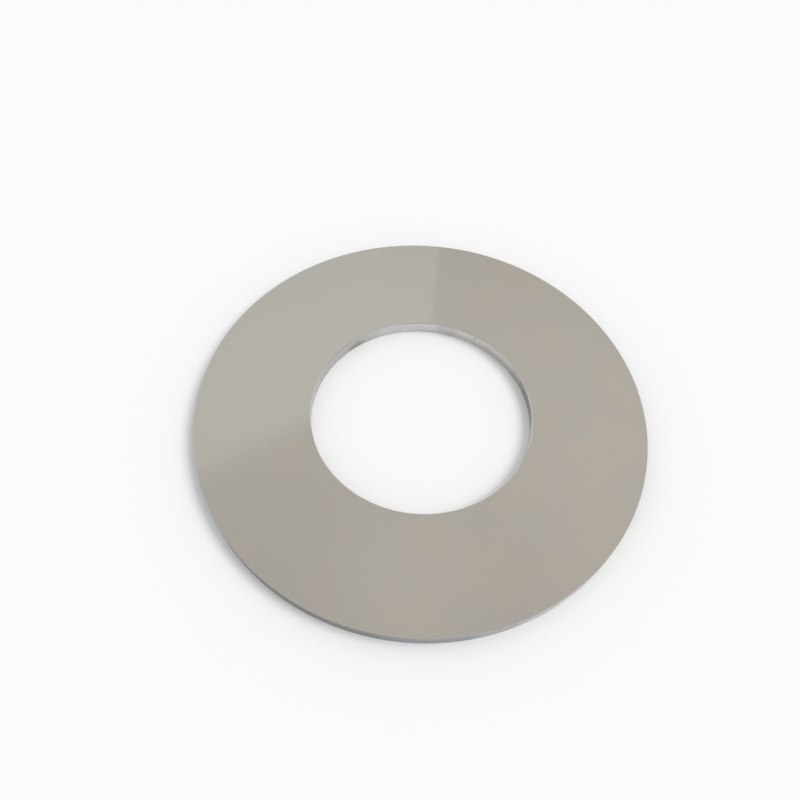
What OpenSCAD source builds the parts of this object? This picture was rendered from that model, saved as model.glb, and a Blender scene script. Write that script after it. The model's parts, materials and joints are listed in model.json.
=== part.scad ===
// Circular slitter knife: one flat ring of hardened tool steel, lapped on both faces. Its rim is ground
// square to the faces, so each end of the rim is a cutting corner. Its bore slides onto an arbor.
// The knife lies on its lower face, with the origin at the centre of the bore and +Z along its axis.

/* [Knife] */
// Diameter of the rim, over the cutting corners
rim_d = 254; // [180:1:400]
// Diameter of the bore that slides onto the arbor
bore_d = 125; // [50:1:200]
// Thickness between the two lapped faces
thickness = 8; // [3:0.5:25]

/* [Edges] */
// Leg of the 45 degree chamfer at each mouth of the bore, which leads the arbor in
bore_chamfer = 0.5; // [0.2:0.1:1.2]

/* [Hidden] */

rim_r = rim_d / 2;
bore_r = bore_d / 2;
// Radius at which each flat face ends and its bore chamfer starts
face_inner_r = bore_r + bore_chamfer;
// Facets of the previewed circle
round_facets = 240;
// Warm grey of lapped steel
steel_colour = [0.68, 0.66, 0.62];

// Half of the knife's cross-section, from the bore out to the square rim
module ring_section() {
    polygon([
        [bore_r, bore_chamfer],
        [face_inner_r, 0],
        [rim_r, 0],
        [rim_r, thickness],
        [face_inner_r, thickness],
        [bore_r, thickness - bore_chamfer],
    ]);
}

module slitter_knife() {
    color(steel_colour)
    rotate_extrude($fn = round_facets)
    ring_section();
}

slitter_knife();
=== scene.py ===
# %% [markdown]
# # Circular slitter knife
# A slitter knife is one flat ring of hardened tool steel. Its faces are lapped to a mirror, its rim is
# ground square so that both corners cut, and its bore slides onto an arbor. CAD already holds that
# solid at its real size. This lesson gives it what CAD leaves out: corners that are a little soft and
# catch the light, four finishes of the same steel, and a plain studio for the mirror to look at.

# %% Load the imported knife
import json
import math

import bpy
from mathutils import Matrix, Vector


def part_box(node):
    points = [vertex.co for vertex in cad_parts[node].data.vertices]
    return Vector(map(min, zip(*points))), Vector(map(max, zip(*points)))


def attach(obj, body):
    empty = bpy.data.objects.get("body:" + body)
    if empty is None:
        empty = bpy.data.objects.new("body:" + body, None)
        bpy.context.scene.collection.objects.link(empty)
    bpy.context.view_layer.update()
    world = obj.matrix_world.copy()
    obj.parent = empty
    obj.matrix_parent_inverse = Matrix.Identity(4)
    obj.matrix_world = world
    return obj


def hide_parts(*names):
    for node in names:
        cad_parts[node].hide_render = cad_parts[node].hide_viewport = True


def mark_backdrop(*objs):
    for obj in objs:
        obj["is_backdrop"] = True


SIZE_DIGITS = 5


def in_short(values):
    """Metres, to a hundredth of a millimetre, for printing."""
    return tuple(round(value, SIZE_DIGITS) for value in values)


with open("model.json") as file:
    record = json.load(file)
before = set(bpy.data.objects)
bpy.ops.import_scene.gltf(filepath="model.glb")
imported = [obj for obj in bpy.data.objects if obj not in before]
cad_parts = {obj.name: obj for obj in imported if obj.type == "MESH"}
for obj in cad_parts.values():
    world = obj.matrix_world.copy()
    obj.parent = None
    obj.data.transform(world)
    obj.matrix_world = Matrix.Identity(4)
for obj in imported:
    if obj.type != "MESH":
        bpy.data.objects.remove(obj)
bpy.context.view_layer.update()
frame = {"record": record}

# %% [markdown]
# ## Sizes
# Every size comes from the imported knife, so the dressed knife can't drift away from the solid. The box
# of the node gives the rim and the thickness. The bore is a stated mount, with its radius and the
# length of its straight wall, and what the wall lacks in length is the chamfer at each mouth.

# %% Read the sizes
MM = 0.001

low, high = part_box("slitter_knife")
bore = next(m["dims"] for m in frame["record"]["mounts"] if m["name"] == "arbor_bore")
rim_r = round(max(high.x, high.y), SIZE_DIGITS)
thickness = round(high.z - low.z, SIZE_DIGITS)
bore_r = bore["r_mm"] * MM
chamfer = (thickness - bore["length_mm"] * MM) / 2
face_inner_r = bore_r + chamfer
print(f"rim {2 * rim_r / MM:.1f} mm, bore {2 * bore_r / MM:.1f} mm, thickness {thickness / MM:.1f} mm")

# %% [markdown]
# ## The section
# A turned part is one outline swept round an axis, so the outline is where the care goes. CAD has it
# as six sharp corners. A real corner is never quite sharp: the cutting corners keep a hone of a few
# hundredths of a millimetre, and the chamfers run into the bore and the faces in a small blend. So
# each corner is listed with its rounding, and each run between two corners with its finish.

# %% List the corners
CUTTING_HONE = 0.05 * MM
BORE_BLEND = 0.05 * MM
FACE_RINGS, WALL_RINGS, CHAMFER_RINGS = 10, 4, 1
FACE, RIM, BORE, EDGE = range(4)

# Each run of the section: its first corner (radius, height), that corner's rounding, the finish of
# the run and the number of rings that it is cut into
RUNS = [
    ((face_inner_r, 0.0), BORE_BLEND, FACE, FACE_RINGS),
    ((rim_r, 0.0), CUTTING_HONE, RIM, WALL_RINGS),
    ((rim_r, thickness), CUTTING_HONE, FACE, FACE_RINGS),
    ((face_inner_r, thickness), BORE_BLEND, EDGE, CHAMFER_RINGS),
    ((bore_r, thickness - chamfer), BORE_BLEND, BORE, WALL_RINGS),
    ((bore_r, chamfer), BORE_BLEND, EDGE, CHAMFER_RINGS),
]
print("corners of the section:", len(RUNS))

# %% [markdown]
# ## Round corners
# A bevel modifier could round the corners of the finished mesh. Rounding the outline itself is exact,
# and each point then also knows the way its surface faces, which the mirror needs. The arc at a corner
# touches both of its runs, so its centre lies inwards along the sum of the two ways that they face.

# %% Arc at a corner
ARC_STEPS = 5


def outward(start, end):
    """The way that the run from start to end faces, in radius and height."""
    along = (Vector(end) - Vector(start)).normalized()
    return Vector((along.y, -along.x))


def corner_arc(corner, radius, facing_in, facing_out):
    """Points on the arc that rounds a corner, each with the way that it faces."""
    centre = Vector(corner) - radius * (facing_in + facing_out) / (1 + facing_in.dot(facing_out))
    turn = facing_in.angle_signed(facing_out)
    arc = []
    for step in range(ARC_STEPS + 1):
        facing = facing_in.copy()
        facing.rotate(Matrix.Rotation(-turn * step / ARC_STEPS, 2))
        arc.append((centre + radius * facing, facing))
    return arc


print("points on an arc:", ARC_STEPS + 1)

# %% Stations round the section
def rounded_section(runs):
    """Stations round the section: a point, the way it faces, and the finish up to the next one."""
    corners = [run[0] for run in runs]
    facings = [outward(corners[i], corners[(i + 1) % len(runs)]) for i in range(len(runs))]
    arcs = [corner_arc(run[0], run[1], facings[i - 1], facings[i]) for i, run in enumerate(runs)]
    stations = []
    for i, (_, _, finish, rings) in enumerate(runs):
        stations += [(point, facing, EDGE) for point, facing in arcs[i][:-1]]
        first = arcs[i][-1][0]
        last = arcs[(i + 1) % len(runs)][0][0]
        stations += [(first.lerp(last, ring / rings), facings[i], finish) for ring in range(rings)]
    return stations


section = rounded_section(RUNS)
print("section stations:", len(section))

# %% [markdown]
# ## The ring
# The section is swept round the axis in steps of half a degree, which keeps the rim round even in a
# close view. Blender's Screw modifier would sweep it too. Placing the points directly gives each
# quad its finish, and lets every point carry the exact normal of the section, so that the two
# mirror faces stay perfectly flat right up to their rounded corners.

# %% Sweep the section
SWEEP_STEPS = 720


def sweep(stations, name):
    """A closed ring of quads, with the finish of each and exact normals."""
    count = len(stations)
    points, normals, quads, finishes = [], [], [], []
    for step in range(SWEEP_STEPS):
        angle = math.tau * step / SWEEP_STEPS
        cos, sin = math.cos(angle), math.sin(angle)
        here, onward = step * count, (step + 1) % SWEEP_STEPS * count
        for i, (point, facing, finish) in enumerate(stations):
            after = (i + 1) % count
            points.append((point.x * cos, point.x * sin, point.y))
            normals.append((facing.x * cos, facing.x * sin, facing.y))
            quads.append((here + i, onward + i, onward + after, here + after))
            finishes.append(finish)
    mesh = bpy.data.meshes.new(name)
    mesh.from_pydata(points, [], quads)
    mesh.polygons.foreach_set("material_index", finishes)
    mesh.shade_smooth()
    mesh.normals_split_custom_set_from_vertices(normals)
    ring = bpy.data.objects.new(name, mesh)
    bpy.context.scene.collection.objects.link(ring)
    return ring


knife = sweep(section, "lapped_knife_ring")
print("ring:", len(knife.data.vertices), "points,", len(knife.data.polygons), "quads")

# %% [markdown]
# ## Helpers: nodes and sums
# A procedural finish is a chain of small sums on coordinates. Written node by node, such a chain is
# hard to read, so a few helpers turn each step into one line. Each takes sockets or plain values, and
# returns the socket that holds its result.

# %% Nodes
def add_node(tree, kind, **settings):
    """A new node, with its settings."""
    made = tree.nodes.new(kind)
    for key, value in settings.items():
        setattr(made, key, value)
    return made


def feed(tree, socket, value):
    """Links a socket to another one, or sets its number, vector or colour."""
    if isinstance(value, bpy.types.NodeSocket):
        tree.links.new(value, socket)
    else:
        socket.default_value = value


def feed_each(tree, sockets, values):
    """Feeds sockets in order, as many as there are values."""
    for socket, value in zip(sockets, values):
        feed(tree, socket, value)


print("ready: nodes")

# %% Sums
NUMBER_RESULTS = ("LENGTH", "DISTANCE", "DOT_PRODUCT")


def maths(tree, operation, *values):
    """One operation on numbers."""
    made = add_node(tree, "ShaderNodeMath", operation=operation)
    feed_each(tree, made.inputs, values)
    return made.outputs["Value"]


def vector_maths(tree, operation, *values):
    """One operation on vectors, which may come out as a number."""
    made = add_node(tree, "ShaderNodeVectorMath", operation=operation)
    feed_each(tree, made.inputs, values)
    return made.outputs["Value" if operation in NUMBER_RESULTS else "Vector"]


def weighted_sum(tree, base, *terms):
    """A base plus each term, which is a socket and its weight."""
    for socket, weight in terms:
        base = maths(tree, "MULTIPLY_ADD", socket, weight, base)
    return base


print("ready: sums")

# %% [markdown]
# ## Helpers: soft ranges and noise
# Two more nodes carry most of the detail. A smooth Map Range turns any distance into a mask with a soft
# border. Noise gives clouds, but their values crowd round one half, so a range that is narrower than
# 0 to 1 stretches them to full contrast.

# %% Soft ranges and noise
NOISE_SPREAD = (0.3, 0.7)


def smooth_range(tree, value, span, first=0.0, last=1.0):
    """Runs smoothly from first to last as value crosses the span."""
    made = add_node(tree, "ShaderNodeMapRange", interpolation_type="SMOOTHSTEP")
    feed_each(tree, made.inputs, (value, *span, first, last))
    return made.outputs["Result"]


def noise(tree, place, scale, detail, turn=None):
    """Cloudy noise from 0 to 1; turn, if given, is a fourth coordinate."""
    made = add_node(tree, "ShaderNodeTexNoise", noise_dimensions="3D" if turn is None else "4D")
    feed(tree, made.inputs["Vector"], place)
    feed(tree, made.inputs["Scale"], scale)
    feed(tree, made.inputs["Detail"], detail)
    if turn is not None:
        feed(tree, made.inputs["W"], turn)
    return made.outputs["Fac"]


print("ready: soft ranges and noise")

# %% [markdown]
# ## Helpers: node groups
# An effect that several finishes share is built once, as a node group, and placed in each finish with
# its own values. The named sockets of a group are kept in its interface, apart from the nodes inside.
# Every group here takes a place on the knife and some numbers, and gives masks from 0 to 1.

# %% Node groups
def new_group(name, numbers, masks):
    """An empty group with named sockets; returns its tree, what comes in and what goes out."""
    tree = bpy.data.node_groups.new(name, "ShaderNodeTree")
    tree.interface.new_socket("Place", in_out="INPUT", socket_type="NodeSocketVector")
    for socket in numbers:
        tree.interface.new_socket(socket, in_out="INPUT", socket_type="NodeSocketFloat")
    for socket in masks:
        tree.interface.new_socket(socket, in_out="OUTPUT", socket_type="NodeSocketFloat")
    inside = add_node(tree, "NodeGroupInput").outputs
    result = add_node(tree, "NodeGroupOutput").inputs
    return tree, inside, result


def use_group(tree, group, **values):
    """Places a group in a material; an input called Half width is given as half_width."""
    made = add_node(tree, "ShaderNodeGroup", node_tree=group)
    for key, value in values.items():
        feed(tree, made.inputs[key.replace("_", " ").capitalize()], value)
    return made.outputs


print("ready: node groups")

# %% [markdown]
# ## Places round the axis
# On a turned part every effect is simplest in the lathe's own terms: how far from the axis, how high,
# and which way round. The way round is given as its cosine and sine and not as an angle, because an
# angle jumps by a full turn somewhere, and the jump would show as a seam.

# %% Radius, height and direction
def vector_of(tree, x, y, z=0.0):
    """A vector from three numbers."""
    made = add_node(tree, "ShaderNodeCombineXYZ")
    feed_each(tree, made.inputs, (x, y, z))
    return made.outputs["Vector"]


def round_the_axis(tree, place):
    """Radius, height, and the cosine and sine of the direction, at a place on the knife."""
    split = add_node(tree, "ShaderNodeSeparateXYZ")
    feed(tree, split.inputs["Vector"], place)
    x, y, height = split.outputs
    radius = vector_maths(tree, "LENGTH", vector_of(tree, x, y))
    cosine = maths(tree, "DIVIDE", x, radius)
    sine = maths(tree, "DIVIDE", y, radius)
    return radius, height, cosine, sine


print("ready: radius, height and direction")

# %% [markdown]
# ## Shared effect: grinding lines
# A grinding wheel leaves fine lines round the axis, on the rim, in the bore and on the chamfers. They
# vary fast across the lay and slowly along it. Noise in radius, height and direction does that on all
# three surfaces at once, and with cosine and sine it needs four dimensions. Fine lines give the
# relief, and wider bands mixed in with them give the shade.

# %% Group of grinding lines
LINE_DETAIL, BAND_DETAIL = 3.0, 1.0
LINE_SHARE, BAND_SHARE = 0.6, 0.4
BANDS_PER_LINE = 0.2
SHADE_SPREAD = (0.35, 0.65)


def grinding_lines_group():
    tree, inside, result = new_group(
        "grinding_lines", ["Lines per metre", "Breaks round"], ["Height", "Shade"])
    radius, height, cosine, sine = round_the_axis(tree, inside["Place"])
    breaks = inside["Breaks round"]

    def lines(density, detail):
        across = vector_of(tree, maths(tree, "MULTIPLY", radius, density),
                           maths(tree, "MULTIPLY", height, density),
                           maths(tree, "MULTIPLY", cosine, breaks))
        return noise(tree, across, 1.0, detail, maths(tree, "MULTIPLY", sine, breaks))

    fine = lines(inside["Lines per metre"], LINE_DETAIL)
    bands = lines(maths(tree, "MULTIPLY", inside["Lines per metre"], BANDS_PER_LINE), BAND_DETAIL)
    both = weighted_sum(tree, 0.0, (fine, LINE_SHARE), (bands, BAND_SHARE))
    feed(tree, result["Height"], smooth_range(tree, fine, NOISE_SPREAD))
    feed(tree, result["Shade"], smooth_range(tree, both, SHADE_SPREAD))
    return tree


grinding_lines = grinding_lines_group()
print("group:", grinding_lines.name, "of", len(grinding_lines.nodes), "nodes")

# %% [markdown]
# ## Shared effect: oil film
# A knife is wiped with rust-preventive oil before it is stored, and the film stays as a faint
# unevenness: patches a few centimetres wide that are a little warmer or cooler and a little less
# sharp. Two clouds of noise are enough, a broad one for the tint and a finer one for the haze. The
# second is read at a shifted place, so that the two don't follow each other.

# %% Group of oil film
TINT_DETAIL, HAZE_DETAIL = 2.0, 4.0
HAZE_SHIFT = (0.31, 0.17, 0.05)
HAZES_PER_PATCH = 2.5
HAZE_SPREAD = (0.4, 0.75)


def oil_film_group():
    tree, inside, result = new_group("oil_film", ["Patches per metre"], ["Tint", "Haze"])
    tint = noise(tree, inside["Place"], inside["Patches per metre"], TINT_DETAIL)
    shifted = vector_maths(tree, "ADD", inside["Place"], HAZE_SHIFT)
    finer = maths(tree, "MULTIPLY", inside["Patches per metre"], HAZES_PER_PATCH)
    haze = noise(tree, shifted, finer, HAZE_DETAIL)
    feed(tree, result["Tint"], smooth_range(tree, tint, NOISE_SPREAD))
    feed(tree, result["Haze"], smooth_range(tree, haze, HAZE_SPREAD))
    return tree


oil_film = oil_film_group()
print("group:", oil_film.name, "of", len(oil_film.nodes), "nodes")

# %% [markdown]
# ## Shared effect: corner wear
# Honing, stacking and handling rub the corners first, so steel is a little paler and duller within
# a fraction of a millimetre of an edge. The knife has four edge circles, the same above and below its
# middle plane. So the distance to the nearest one follows from radius and height alone, and it
# works on the faces, the rim and the bore without any baked map. Noise makes its reach ragged.

# %% Group of corner wear
RAGGED_PER_METRE, RAGGED_DETAIL = 900.0, 3.0
RAGGED_LEAST = 0.3


def corner_wear_group():
    tree, inside, result = new_group("corner_wear", ["Reach"], ["Wear"])
    radius, height, _, _ = round_the_axis(tree, inside["Place"])
    from_middle = maths(tree, "ABSOLUTE", maths(tree, "SUBTRACT", height, thickness / 2))
    to_face = maths(tree, "SUBTRACT", from_middle, thickness / 2)

    def distance_to(edge_r):
        to_edge = maths(tree, "SUBTRACT", radius, edge_r)
        return vector_maths(tree, "LENGTH", vector_of(tree, to_edge, to_face))

    nearest = maths(tree, "MINIMUM", distance_to(rim_r), distance_to(bore_r))
    clouds = noise(tree, inside["Place"], RAGGED_PER_METRE, RAGGED_DETAIL)
    ragged = smooth_range(tree, clouds, NOISE_SPREAD, RAGGED_LEAST, 1.0)
    reach = maths(tree, "MULTIPLY", inside["Reach"], ragged)
    feed(tree, result["Wear"], smooth_range(tree, nearest, (0.0, reach), 1.0, 0.0))
    return tree


corner_wear = corner_wear_group()
print("group:", corner_wear.name, "of", len(corner_wear.nodes), "nodes")

# %% [markdown]
# ## Shared effect: patches on a wall
# Steel that is handled and stored doesn't stay one tone all the way round, and some patches here also
# paint in light and shade: painted shade and painted reflections on the rim and in the bore. A patch is
# an oval on the rim or on the bore wall: a place round the axis, a height, and a half width and half
# height. A tall oval colours the whole wall, a small one is a smudge or a nick. Noise frays its border,
# in blotches that keep to the size of the patch. Turning the direction back by the patch's own leaves
# the arc between.

# %% Group of wall patches
BLOTCHES_PER_PATCH, BLOTCH_DETAIL = 2.5, 3.0
FRAY = 0.2
PATCH_BORDER = (0.4, 1.0)


def wall_patch_group():
    tree, inside, result = new_group(
        "wall_patch", ["Direction", "Height", "Half width", "Half height"], ["Mask"])
    radius, height, cosine, sine = round_the_axis(tree, inside["Place"])
    patch_cosine = maths(tree, "COSINE", inside["Direction"])
    patch_sine = maths(tree, "SINE", inside["Direction"])
    along = maths(tree, "ADD", maths(tree, "MULTIPLY", cosine, patch_cosine),
                  maths(tree, "MULTIPLY", sine, patch_sine))
    across = maths(tree, "SUBTRACT", maths(tree, "MULTIPLY", sine, patch_cosine),
                   maths(tree, "MULTIPLY", cosine, patch_sine))
    arc = maths(tree, "MULTIPLY", radius, maths(tree, "ARCTAN2", across, along))
    rise = maths(tree, "SUBTRACT", height, inside["Height"])
    oval = vector_of(tree, maths(tree, "DIVIDE", arc, inside["Half width"]),
                     maths(tree, "DIVIDE", rise, inside["Half height"]))
    smaller = maths(tree, "MINIMUM", inside["Half width"], inside["Half height"])
    blotch_scale = maths(tree, "DIVIDE", BLOTCHES_PER_PATCH, smaller)
    blotches = noise(tree, inside["Place"], blotch_scale, BLOTCH_DETAIL)
    fray = smooth_range(tree, blotches, NOISE_SPREAD, -FRAY, FRAY)
    frayed = maths(tree, "ADD", vector_maths(tree, "LENGTH", oval), fray)
    feed(tree, result["Mask"], smooth_range(tree, frayed, PATCH_BORDER, 1.0, 0.0))
    return tree


wall_patch = wall_patch_group()
print("group:", wall_patch.name, "of", len(wall_patch.nodes), "nodes")

# %% [markdown]
# ## Start of a steel material
# All four finishes are bare steel, so they share one beginning: a Principled BSDF that is fully
# metallic, and the place on the knife from object coordinates. What differs is the colour, the
# roughness and the relief that each finish then wires in. The Mix node keeps a set of sockets for each
# kind of data, so its colour sockets are picked by number.

# %% Bare steel, mixed colours and relief
MIX_FACTOR, MIX_A, MIX_B, MIX_RESULT = 0, 6, 7, 2


def bare_steel(name):
    """A metallic material; returns it with its tree, its shader and the place on the knife."""
    material = bpy.data.materials.new(name)
    material.use_nodes = True
    tree = material.node_tree
    shader = tree.nodes["Principled BSDF"]
    shader.inputs["Metallic"].default_value = 1.0
    place = add_node(tree, "ShaderNodeTexCoord").outputs["Object"]
    return material, tree, shader, place


def mix_colours(tree, factor, first, second):
    """A colour that goes from first to second as the factor goes from 0 to 1."""
    made = add_node(tree, "ShaderNodeMix", data_type="RGBA")
    sockets = [made.inputs[number] for number in (MIX_FACTOR, MIX_A, MIX_B)]
    feed_each(tree, sockets, (factor, first, second))
    return made.outputs[MIX_RESULT]


def relief(tree, shader, height, depth, strength):
    """Feeds the shader a normal from a height of 0 to 1 and its depth in metres."""
    bump = add_node(tree, "ShaderNodeBump")
    bump.inputs["Strength"].default_value = strength
    bump.inputs["Distance"].default_value = depth
    feed(tree, bump.inputs["Height"], height)
    feed(tree, shader.inputs["Normal"], bump.outputs["Normal"])


print("ready: bare steel, mixed colours and relief")

# %% [markdown]
# ## Hairlines
# Lapping moves the knife over a flat plate under fine abrasive, in paths that cross at every angle, and
# a coarse grain now and then leaves a hairline. Noise that is stretched hard along one direction makes
# streaks, and its highest peaks alone are sparse, thin lines. Three directions are enough to look
# like none in particular.

# %% Mask of hairlines
# Directions in radians, then how dense the noise is along a line, across it and upward
HAIRLINE_DIRECTIONS = (0.35, 1.45, 2.40)
HAIRLINES_PER_METRE = (30.0, 4500.0, 0.0)
HAIRLINE_DETAIL = 1.0
HAIRLINE_PEAKS = (0.68, 0.78)


def hairlines(tree, place):
    """A mask of sparse, fine, straight lines in a few directions."""
    mask = 0.0
    for angle in HAIRLINE_DIRECTIONS:
        turned = add_node(tree, "ShaderNodeMapping", vector_type="TEXTURE")
        turned.inputs["Rotation"].default_value = (0.0, 0.0, angle)
        feed(tree, turned.inputs["Vector"], place)
        stretched = vector_maths(tree, "MULTIPLY", turned.outputs["Vector"], HAIRLINES_PER_METRE)
        line = smooth_range(tree, noise(tree, stretched, 1.0, HAIRLINE_DETAIL), HAIRLINE_PEAKS)
        mask = maths(tree, "MAXIMUM", line, mask)
    return mask


print("hairline directions:", len(HAIRLINE_DIRECTIONS))

# %% [markdown]
# ## Lapped faces
# A lapped face is a mirror, so it is nearly smooth metal. Its colour drifts a little with the oil film.
# The hairlines darken it, lift the roughness and cut a groove of less than a micrometre, and the
# corner wear makes a pale, duller seam along its two edges.

# %% Lapped face finish
# Both face tones are warmer than bare steel: partly the steel's own tint and partly painted reflection
# of the warm room that the face mirrors.
STEEL_WARM = (0.592, 0.548, 0.488, 1.0)
STEEL_COOL = (0.580, 0.545, 0.492, 1.0)
STEEL_RUBBED = (0.600, 0.585, 0.560, 1.0)
STEEL_SCRATCHED = (0.520, 0.490, 0.445, 1.0)
FACE_PATCHES_PER_METRE = 28.0
FACE_WEAR_REACH = 0.8 * MM
SCRATCH_TONE, WEAR_TONE = 0.6, 0.6
FACE_ROUGHNESS = 0.035
FACE_HAZE_ROUGHNESS, SCRATCH_ROUGHNESS, WEAR_ROUGHNESS = 0.02, 0.05, 0.08
HAIRLINE_DEPTH, HAIRLINE_STRENGTH = 0.0006 * MM, 1.0


def lapped_face_finish():
    material, tree, shader, place = bare_steel("lapped_face")
    film = use_group(tree, oil_film, place=place, patches_per_metre=FACE_PATCHES_PER_METRE)
    wear = use_group(tree, corner_wear, place=place, reach=FACE_WEAR_REACH)["Wear"]
    scratches = hairlines(tree, place)
    colour = mix_colours(tree, film["Tint"], STEEL_COOL, STEEL_WARM)
    colour = mix_colours(tree, maths(tree, "MULTIPLY", scratches, SCRATCH_TONE), colour, STEEL_SCRATCHED)
    colour = mix_colours(tree, maths(tree, "MULTIPLY", wear, WEAR_TONE), colour, STEEL_RUBBED)
    roughness = weighted_sum(tree, FACE_ROUGHNESS, (film["Haze"], FACE_HAZE_ROUGHNESS),
                             (scratches, SCRATCH_ROUGHNESS), (wear, WEAR_ROUGHNESS))
    feed(tree, shader.inputs["Base Color"], colour)
    feed(tree, shader.inputs["Roughness"], roughness)
    relief(tree, shader, maths(tree, "SUBTRACT", 1.0, scratches), HAIRLINE_DEPTH, HAIRLINE_STRENGTH)
    return material


lapped_face = lapped_face_finish()
print("finish:", lapped_face.name, "of", len(lapped_face.node_tree.nodes), "nodes")

# %% [markdown]
# ## Several patches on one wall
# The rim, the bore and the chamfers each have a few patches of the same kind. A list of them, in
# degrees and millimetres as one would mark them on the knife, is easier to change than nodes. Where
# two patches meet, the deeper one shows.

# %% List of patches to one mask
def patches(tree, place, marks):
    """A mask of several wall patches, each at its own depth."""
    mask = 0.0
    for degrees, height, half_width, half_height, depth in marks:
        patch = use_group(tree, wall_patch, place=place, direction=math.radians(degrees),
                          height=height * MM, half_width=half_width * MM, half_height=half_height * MM)
        mask = maths(tree, "MAXIMUM", maths(tree, "MULTIPLY", patch["Mask"], depth), mask)
    return mask


print("ready: patches")

# %% [markdown]
# ## Ground rim
# The rim is cylindrically ground: satin and cooler than the mirror faces. Its tones are set darker than
# bare steel, partly as painted shade for the darker surroundings that it mirrors. The grinding lines
# drive colour, roughness and relief together, so a deeper line is also darker and duller, as it is on
# the real rim. Patches darken, brighten and blue it in places: oil stains, rubbed and heat-tinted steel,
# and on the front side painted shade on the left, a painted reflection of the lit floor on the right and
# a bluish painted reflection between.

# %% Tones and patches of the rim
# The two tones of the lines are darker than bare steel, partly painted shade for the darker surroundings
# that the rim mirrors.
RIM_DARK = (0.335, 0.337, 0.342, 1.0)
RIM_LIGHT = (0.440, 0.442, 0.446, 1.0)
RIM_RUBBED_AND_REFLECTION = (0.640, 0.636, 0.630, 1.0)
RIM_OIL_AND_SHADE = (0.200, 0.200, 0.196, 1.0)
RIM_BLUE_AND_REFLECTION = (0.300, 0.308, 0.350, 1.0)

# Each patch: degrees round the rim, then height, half width and half height in mm, and depth
RIM_RUBBED_AND_REFLECTION_PATCHES = [
    # The bright patch on the front right is a painted reflection of the lit floor; the one at the back
    # is rubbed steel.
    (314.0, 4.0, 50.0, 30.0, 0.70),
    (170.0, 4.0, 40.0, 20.0, 0.40),
]
RIM_OIL_AND_SHADE_PATCHES = [
    # The dark patch on the front left is painted shade; the others are oil.
    (250.0, 3.0, 75.0, 30.0, 0.70),
    (118.0, 5.0, 50.0, 20.0, 0.40),
    (12.0, 3.0, 40.0, 12.0, 0.30),
]
RIM_BLUE_AND_REFLECTION_PATCHES = [
    # The blue patch at the front is a bluish painted reflection; the one at the back is heat tint.
    (274.0, 4.0, 26.0, 30.0, 0.80),
    (65.0, 4.0, 45.0, 20.0, 0.50),
]
RIM_STAINS_AND_PAINTED_LIGHT = [(RIM_RUBBED_AND_REFLECTION_PATCHES, RIM_RUBBED_AND_REFLECTION), (RIM_OIL_AND_SHADE_PATCHES, RIM_OIL_AND_SHADE), (RIM_BLUE_AND_REFLECTION_PATCHES, RIM_BLUE_AND_REFLECTION)]
print("patches on the rim:", sum(len(marks) for marks, _ in RIM_STAINS_AND_PAINTED_LIGHT))

# %% Ground rim finish
RIM_LINES_PER_METRE, RIM_BREAKS_ROUND = 5000.0, 3.0
RIM_PATCHES_PER_METRE = 45.0
RIM_WEAR_REACH = 0.5 * MM
RIM_ROUGHNESS, RIM_LINE_POLISH, RIM_HAZE_ROUGHNESS = 0.34, 0.10, 0.06
RIM_LINE_DEPTH, RIM_LINE_STRENGTH = 0.006 * MM, 0.5


def ground_rim_finish():
    material, tree, shader, place = bare_steel("ground_rim")
    lines = use_group(tree, grinding_lines, place=place, lines_per_metre=RIM_LINES_PER_METRE,
                      breaks_round=RIM_BREAKS_ROUND)
    film = use_group(tree, oil_film, place=place, patches_per_metre=RIM_PATCHES_PER_METRE)
    wear = use_group(tree, corner_wear, place=place, reach=RIM_WEAR_REACH)["Wear"]
    colour = mix_colours(tree, lines["Shade"], RIM_DARK, RIM_LIGHT)
    # The patches mix in stains together with painted shade and painted reflections.
    for marks, patch_tone in RIM_STAINS_AND_PAINTED_LIGHT:
        colour = mix_colours(tree, patches(tree, place, marks), colour, patch_tone)
    colour = mix_colours(tree, wear, colour, STEEL_RUBBED)
    roughness = weighted_sum(tree, RIM_ROUGHNESS, (lines["Shade"], -RIM_LINE_POLISH),
                             (film["Haze"], RIM_HAZE_ROUGHNESS))
    feed(tree, shader.inputs["Base Color"], colour)
    feed(tree, shader.inputs["Roughness"], roughness)
    relief(tree, shader, lines["Height"], RIM_LINE_DEPTH, RIM_LINE_STRENGTH)
    return material


ground_rim = ground_rim_finish()
print("finish:", ground_rim.name, "of", len(ground_rim.node_tree.nodes), "nodes")

# %% [markdown]
# ## Ground bore
# The bore is ground to a finer fit than the rim, so it is brighter and its lines are closer. Arbors and
# fingers have left it with a few marks: oil that dried in broad patches, some flat smudges and one dark
# nick, and the broad dark patch on the right wall is painted shade. They are wall patches that mix in a
# darker, duller steel. A pale blue patch on the far wall is a painted reflection of the lit floor, and
# on the near side the wheel has left a trace of blue where it ran warm.

# %% Tones and marks of the bore
BORE_DARK = (0.556, 0.550, 0.540, 1.0)
BORE_LIGHT = (0.686, 0.678, 0.664, 1.0)
BORE_BLUE_AND_REFLECTION = (0.615, 0.612, 0.645, 1.0)
BORE_OIL_AND_SHADE = (0.340, 0.330, 0.312, 1.0)

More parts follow.
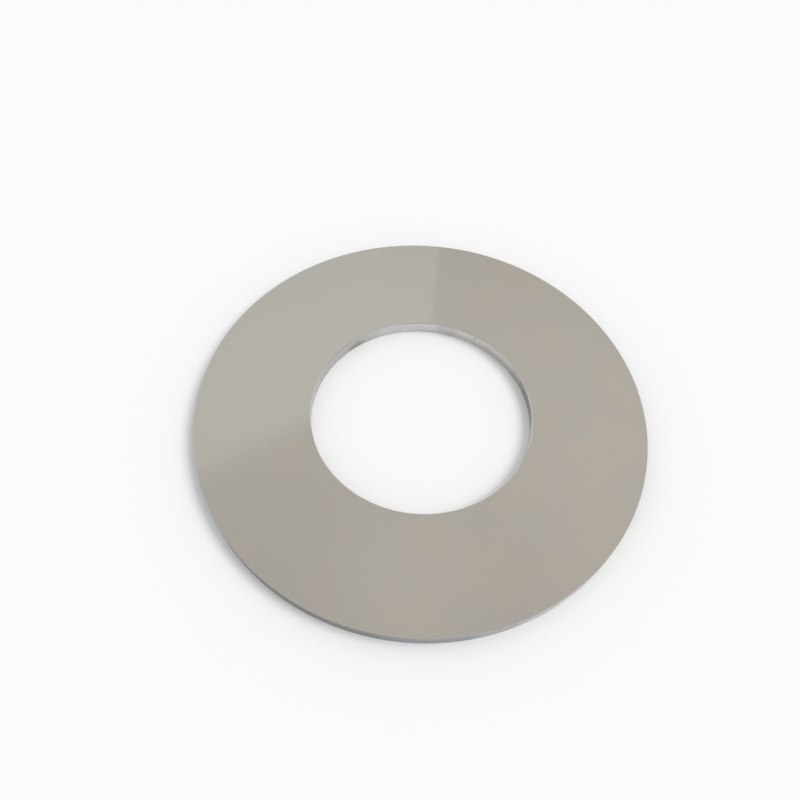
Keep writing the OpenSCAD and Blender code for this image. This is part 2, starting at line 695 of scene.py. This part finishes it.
# Each mark: degrees round the bore, then height, half width and half height in mm, and depth
BORE_MARKS_AND_SHADE = [
    # The first mark, a broad dark patch on the right wall, is painted shade.
    (14.0, 4.0, 22.0, 30.0, 0.75),
    (131.0, 2.6, 9.0, 5.0, 0.85),
    (150.0, 4.0, 55.0, 40.0, 0.36),
    (77.0, 4.5, 9.0, 8.0, 0.30),
    (60.6, 6.2, 1.0, 0.9, 1.00),
    (230.0, 4.5, 30.0, 9.0, 0.50),
    (305.0, 3.0, 12.0, 5.0, 0.60),
]
BORE_BLUE_AND_REFLECTION_PATCHES = [
    # The first patch, pale blue on the far wall, is a painted reflection of the lit floor.
    (100.0, 4.0, 26.0, 30.0, 0.85),
    (255.0, 4.0, 18.0, 20.0, 0.50),
]
print("marks in the bore:", len(BORE_MARKS_AND_SHADE), "and", len(BORE_BLUE_AND_REFLECTION_PATCHES), "traces of blue")

# %% Ground bore finish
BORE_LINES_PER_METRE, BORE_BREAKS_ROUND = 7000.0, 2.0
BORE_PATCHES_PER_METRE = 60.0
BORE_WEAR_REACH = 0.7 * MM
BORE_ROUGHNESS, BORE_LINE_POLISH = 0.26, 0.06
BORE_HAZE_ROUGHNESS, BORE_MARK_ROUGHNESS = 0.05, 0.10
BORE_LINE_DEPTH, BORE_LINE_STRENGTH = 0.004 * MM, 0.5


def ground_bore_finish():
    material, tree, shader, place = bare_steel("ground_bore")
    lines = use_group(tree, grinding_lines, place=place, lines_per_metre=BORE_LINES_PER_METRE,
                      breaks_round=BORE_BREAKS_ROUND)
    film = use_group(tree, oil_film, place=place, patches_per_metre=BORE_PATCHES_PER_METRE)
    wear = use_group(tree, corner_wear, place=place, reach=BORE_WEAR_REACH)["Wear"]
    # The marks include painted shade on the right wall.
    marks = patches(tree, place, BORE_MARKS_AND_SHADE)
    colour = mix_colours(tree, lines["Shade"], BORE_DARK, BORE_LIGHT)
    # The blue patches include a painted reflection on the far wall.
    colour = mix_colours(tree, patches(tree, place, BORE_BLUE_AND_REFLECTION_PATCHES), colour, BORE_BLUE_AND_REFLECTION)
    colour = mix_colours(tree, wear, colour, STEEL_RUBBED)
    colour = mix_colours(tree, marks, colour, BORE_OIL_AND_SHADE)
    roughness = weighted_sum(tree, BORE_ROUGHNESS, (lines["Shade"], -BORE_LINE_POLISH),
                             (film["Haze"], BORE_HAZE_ROUGHNESS), (marks, BORE_MARK_ROUGHNESS))
    feed(tree, shader.inputs["Base Color"], colour)
    feed(tree, shader.inputs["Roughness"], roughness)
    relief(tree, shader, lines["Height"], BORE_LINE_DEPTH, BORE_LINE_STRENGTH)
    return material


ground_bore = ground_bore_finish()
print("finish:", ground_bore.name, "of", len(ground_bore.node_tree.nodes), "nodes")

# %% [markdown]
# ## Broken edges
# The chamfers at the bore and the hone on the cutting corners are the last cuts made, with a fine stone.
# They are bright and slightly satin, with the same lines round the axis, only shallower. On one side of
# the knife they are a little darker.

# %% Broken edge finish
EDGE_DARK = (0.570, 0.556, 0.530, 1.0)
EDGE_LIGHT = (0.660, 0.642, 0.612, 1.0)
EDGE_SIDE_DARK = (0.380, 0.368, 0.345, 1.0)
EDGE_SIDE_DARK_PATCHES = [
    (165.0, 4.0, 70.0, 40.0, 0.25),
]
EDGE_LINES_PER_METRE, EDGE_BREAKS_ROUND = 9000.0, 4.0
EDGE_PATCHES_PER_METRE = 80.0
EDGE_ROUGHNESS, EDGE_HAZE_ROUGHNESS = 0.12, 0.06
EDGE_LINE_DEPTH, EDGE_LINE_STRENGTH = 0.002 * MM, 0.4


def broken_edge_finish():
    material, tree, shader, place = bare_steel("broken_edge")
    lines = use_group(tree, grinding_lines, place=place, lines_per_metre=EDGE_LINES_PER_METRE,
                      breaks_round=EDGE_BREAKS_ROUND)
    film = use_group(tree, oil_film, place=place, patches_per_metre=EDGE_PATCHES_PER_METRE)
    colour = mix_colours(tree, lines["Shade"], EDGE_DARK, EDGE_LIGHT)
    colour = mix_colours(tree, patches(tree, place, EDGE_SIDE_DARK_PATCHES), colour, EDGE_SIDE_DARK)
    roughness = weighted_sum(tree, EDGE_ROUGHNESS, (film["Haze"], EDGE_HAZE_ROUGHNESS))
    feed(tree, shader.inputs["Base Color"], colour)
    feed(tree, shader.inputs["Roughness"], roughness)
    relief(tree, shader, lines["Height"], EDGE_LINE_DEPTH, EDGE_LINE_STRENGTH)
    return material


broken_edge = broken_edge_finish()
print("finish:", broken_edge.name, "of", len(broken_edge.node_tree.nodes), "nodes")

# %% [markdown]
# ## Dress the knife
# The order of the material slots is the order of the finish numbers in the section. The swept ring then
# rides on the knife's only body, and the CAD solid is hidden.

# %% Put the ring in place of the solid
for material in (lapped_face, ground_rim, ground_bore, broken_edge):
    knife.data.materials.append(material)
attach(knife, "root")
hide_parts("slitter_knife")
print("finishes on the ring:", [m.name for m in knife.data.materials])

# %% [markdown]
# ## Floor
# The knife lies on a plain pale floor. The rim and the bore wall look down into that floor, so it also
# sets their tone: bright where the light reaches it, dark in the knife's own shadow. It is a plain
# matt sheet, a hair below the lower face so that the two surfaces don't share a plane.

# %% Pale floor
FLOOR_HALF = 4.0
FLOOR_DROP = 0.05 * MM
FLOOR_COLOUR = (0.935, 0.935, 0.935, 1.0)
FLOOR_ROUGHNESS = 0.9
SHEET_CORNERS = ((-1, -1), (1, -1), (1, 1), (-1, 1))


def pale_floor():
    mesh = bpy.data.meshes.new("pale_floor")
    corners = [(x * FLOOR_HALF, y * FLOOR_HALF, -FLOOR_DROP) for x, y in SHEET_CORNERS]
    mesh.from_pydata(corners, [], [range(len(corners))])
    material = bpy.data.materials.new("matt_floor")
    material.use_nodes = True
    shader = material.node_tree.nodes["Principled BSDF"]
    shader.inputs["Base Color"].default_value = FLOOR_COLOUR
    shader.inputs["Roughness"].default_value = FLOOR_ROUGHNESS
    shader.inputs["Specular IOR Level"].default_value = 0.0
    mesh.materials.append(material)
    floor = bpy.data.objects.new("pale_floor", mesh)
    bpy.context.scene.collection.objects.link(floor)
    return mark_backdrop(floor)


pale_floor()
print("floor:", 2 * FLOOR_HALF, "metres square")

# %% [markdown]
# ## Studio
# A mirror shows only what stands round it, so the studio is half of this picture. The world is a pale
# dome: nearly white round the floor and a calmer grey above, a little lighter on the window side, with
# one soft glow nearly overhead. A picture of a studio would do as well, but a few soft ranges on the
# direction of a ray are enough for so plain a room, and each tone stays a value that can be changed.

# %% Tone of the dome
# A height is the upward part of a direction, from 0 at the horizon to 1 overhead
WALL_LEVEL, CEILING_LEVEL = 1.06, 0.7205
CEILING_HEIGHT = 0.55
# The ceiling is lightest at a middle height and falls away from it, up to a limit
CEILING_MIDDLE, CEILING_FALL, CEILING_FALL_LIMIT = 0.827, 4.575, 0.02
WINDOW_SIDE_GAIN = 0.11
WINDOW_SIDE_NEAR, WINDOW_SIDE_FAR = 0.218, -0.3
OVERHEAD_GAIN, OVERHEAD_WIDTH = 0.068, 0.19


def toward(degrees_round, degrees_up):
    """A direction: degrees round the axis from +X, and degrees up from the floor."""
    turn, rise = math.radians(degrees_round), math.radians(degrees_up)
    return Vector((math.cos(rise) * math.cos(turn), math.cos(rise) * math.sin(turn), math.sin(rise)))


OVERHEAD = toward(88.44, 72.95)


def dome_tone(tree, direction, sideways, upward):
    """How light the plain dome is in a direction."""
    ceiling = smooth_range(tree, upward, (0.0, CEILING_HEIGHT), WALL_LEVEL, CEILING_LEVEL)
    off_middle = maths(tree, "SUBTRACT", upward, CEILING_MIDDLE)
    fall = maths(tree, "MINIMUM", maths(tree, "MULTIPLY", off_middle, off_middle), CEILING_FALL_LIMIT)
    side = maths(tree, "MINIMUM", sideways, WINDOW_SIDE_NEAR)
    side = maths(tree, "MAXIMUM", side, WINDOW_SIDE_FAR)
    off_overhead = vector_maths(tree, "DISTANCE", direction, OVERHEAD)
    overhead = smooth_range(tree, off_overhead, (0.0, OVERHEAD_WIDTH), 1.0, 0.0)
    return weighted_sum(tree, ceiling, (fall, -CEILING_FALL), (side, WINDOW_SIDE_GAIN),
                        (overhead, OVERHEAD_GAIN))


print("glow overhead toward:", in_short(OVERHEAD))

# %% [markdown]
# ## Lit panel
# One lit wall panel stands behind on the left, and the mirror shows two of its edges: an upright one and
# a slanting top. Seen from the knife, a straight edge is a plane through the knife, so a dot product
# with the plane's normal says which side of the edge a ray goes to. A share of the upright edge is
# spread wide, as a glow beside the panel.

# %% Mask of the panel
PANEL_UPRIGHT_EDGE = toward(177.065, 0.338)
PANEL_TOP_EDGE = toward(123.385, -29.42)
UPRIGHT_SOFTNESS, TOP_SOFTNESS, GLOW_SOFTNESS = 0.003, 0.022, 0.12
GLOW_SHARE = 0.22
PANEL_FOOT, PANEL_FULL = 0.35, 0.60


def beside_plane(tree, direction, normal, softness):
    """1 on the side of a plane that its normal points to, 0 on the other, soft between."""
    side = vector_maths(tree, "DOT_PRODUCT", direction, normal)
    return smooth_range(tree, side, (-softness, softness))


def lit_panel(tree, direction, upward):
    """A mask of the panel, from 0 beside it to 1 on it."""
    sharp = beside_plane(tree, direction, PANEL_UPRIGHT_EDGE, UPRIGHT_SOFTNESS)
    glow = beside_plane(tree, direction, PANEL_UPRIGHT_EDGE, GLOW_SOFTNESS)
    upright = weighted_sum(tree, 0.0, (sharp, 1 - GLOW_SHARE), (glow, GLOW_SHARE))
    top = beside_plane(tree, direction, PANEL_TOP_EDGE, TOP_SOFTNESS)
    raised = smooth_range(tree, upward, (PANEL_FOOT, PANEL_FULL))
    return maths(tree, "MULTIPLY", maths(tree, "MULTIPLY", upright, top), raised)


print("panel edges face:", in_short(PANEL_UPRIGHT_EDGE), in_short(PANEL_TOP_EDGE))

# %% [markdown]
# ## Soft boxes
# Steel reads as polished only where it mirrors an edge, and from other sides the face looks into other
# parts of the room. So tall soft boxes stand all round, at uneven steps as in a real studio. A box is
# every direction within some degrees of its middle, which a dot product with the flattened direction
# tells. The ceiling over the front is a little darker, with an edge of its own for views from above.

# %% Masks of the soft boxes and the front ceiling
# Each box: degrees round to its middle, and half its width in degrees, as its softness is
SOFT_BOXES = [(22.0, 16.0), (66.0, 10.0), (146.0, 18.0), (203.0, 16.0), (254.0, 14.0), (310.0, 20.0)]
BOX_SOFTNESS = 0.5
# Heights between which a box fades in at its foot and out at its top
BOX_FOOT, BOX_TOP = (0.22, 0.30), (0.60, 0.63)
FLATTENED = (1.0, 1.0, 0.0)
FRONT_EDGE, FRONT_SOFTNESS = toward(-90, 6), 0.01
FRONT_FOOT = (0.66, 0.70)


def soft_boxes(tree, direction, upward):
    """A mask of the boxes, from 0 between them to 1 on one."""
    flat = vector_maths(tree, "NORMALIZE", vector_maths(tree, "MULTIPLY", direction, FLATTENED))
    boxes = 0.0
    for degrees, half_width in SOFT_BOXES:
        border = [math.cos(math.radians(half_width + soft)) for soft in (BOX_SOFTNESS, -BOX_SOFTNESS)]
        nearness = vector_maths(tree, "DOT_PRODUCT", flat, toward(degrees, 0))
        boxes = maths(tree, "MAXIMUM", smooth_range(tree, nearness, border), boxes)
    foot = smooth_range(tree, upward, BOX_FOOT)
    top = smooth_range(tree, upward, BOX_TOP, 1.0, 0.0)
    return maths(tree, "MULTIPLY", boxes, maths(tree, "MULTIPLY", foot, top))


def front_ceiling(tree, direction, upward):
    """A mask of the ceiling over the front."""
    front = beside_plane(tree, direction, FRONT_EDGE, FRONT_SOFTNESS)
    return maths(tree, "MULTIPLY", front, smooth_range(tree, upward, FRONT_FOOT))


print("soft boxes:", len(SOFT_BOXES))

# %% [markdown]
# ## Dome as the world
# In a world's nodes the Generated coordinates are the direction of the ray, so the tone and the masks
# need nothing else. The panel and the boxes add a little light, the front ceiling takes as much away,
# and the panel is a little cooler than the rest. At the horizon the dome takes on the tone of the lit
# floor, so that no line parts the two.

# %% Pale dome with its panel and boxes
CEILING_TINT = (1.0, 1.0, 0.988, 1.0)
PANEL_TINT = (0.965, 1.0, 1.007, 1.0)
HORIZON_TINT = (0.998, 1.004, 0.997, 1.0)
PANEL_GAIN, BOX_GAIN, FRONT_LOSS = 0.107, 0.13, 0.07
HORIZON_LEVEL, HORIZON_BAND = 0.958, (0.02, 0.18)


def pale_dome():
    world = bpy.data.worlds.new("pale_dome")
    world.use_nodes = True
    tree = world.node_tree
    direction = add_node(tree, "ShaderNodeTexCoord").outputs["Generated"]
    split = add_node(tree, "ShaderNodeSeparateXYZ")
    feed(tree, split.inputs["Vector"], direction)
    sideways, _, upward = split.outputs
    panel = lit_panel(tree, direction, upward)
    boxes = soft_boxes(tree, direction, upward)
    front = front_ceiling(tree, direction, upward)
    tone = dome_tone(tree, direction, sideways, upward)
    tone = weighted_sum(tree, tone, (panel, PANEL_GAIN), (boxes, BOX_GAIN), (front, -FRONT_LOSS))
    tint = mix_colours(tree, panel, CEILING_TINT, PANEL_TINT)
    horizon = smooth_range(tree, upward, HORIZON_BAND, 1.0, 0.0)
    to_floor = maths(tree, "SUBTRACT", HORIZON_LEVEL, tone)
    background = tree.nodes["Background"]
    feed(tree, background.inputs["Color"], mix_colours(tree, horizon, tint, HORIZON_TINT))
    feed(tree, background.inputs["Strength"], weighted_sum(tree, tone, (horizon, to_floor)))
    bpy.context.scene.world = world
    return world


dome = pale_dome()
print("dome:", len(dome.node_tree.nodes), "nodes, level", HORIZON_LEVEL, "at the horizon")

# %% [markdown]
# ## Window light
# One broad light from the right gives the knife its soft shadow on the left. A sun lamp with a very
# wide disc is the even form of a big soft window: the same strength all over the floor, and no hard
# shadow edge. A photographer flags such a light off from polished steel, because its image there is a
# bare white spot. Here the lamp's glossy visibility is off, so the steel shows only dome and floor.

# %% Broad light from the right
WINDOW_STRENGTH = 1.29
WINDOW_WIDTH = math.radians(34)
WINDOW = toward(-2, 54)


def window_light():
    data = bpy.data.lights.new("window_light", "SUN")
    data.energy = WINDOW_STRENGTH
    data.angle = WINDOW_WIDTH
    lamp = bpy.data.objects.new("window_light", data)
    lamp.rotation_euler = WINDOW.to_track_quat("Z", "Y").to_euler()
    lamp.visible_glossy = False
    bpy.context.scene.collection.objects.link(lamp)


window_light()
print("window light:", WINDOW_STRENGTH, "from", in_short(WINDOW))

# %% [markdown]
# ## Camera
# The photograph looks down at the knife from the front, held a little askew. Fitting the rim and
# bore circles to it gave the lens, the height angle, the roll and the point that the camera looks at.
# The camera is placed back along its line of sight from that point, then rolled.

# %% Camera at the photograph's angle
LENS, SENSOR = 34.0, 36.0
NEAREST_SEEN = 10 * MM
CAMERA_BACK = toward(-90, 57.68)
CAMERA_ROLL = math.radians(3.17)
CAMERA_DISTANCE = 430.4 * MM
LOOK_AT = Vector((-12.47 * MM, 6.57 * MM, thickness))


def photo_camera():
    data = bpy.data.cameras.new("photo_camera")
    data.lens = LENS
    data.sensor_width = SENSOR
    data.clip_start = NEAREST_SEEN
    camera = bpy.data.objects.new("photo_camera", data)
    turn = CAMERA_BACK.to_track_quat("Z", "Y").to_matrix() @ Matrix.Rotation(CAMERA_ROLL, 3, "Z")
    camera.matrix_world = Matrix.Translation(LOOK_AT + CAMERA_DISTANCE * CAMERA_BACK) @ turn.to_4x4()
    bpy.context.scene.collection.objects.link(camera)
    bpy.context.scene.camera = camera
    return camera


camera = photo_camera()
print("camera at:", in_short(camera.matrix_world.translation))

# %% [markdown]
# ## Finish
# The Standard view shows colours as they are written.

# %% Set the view
bpy.context.scene.view_settings.view_transform = "Standard"
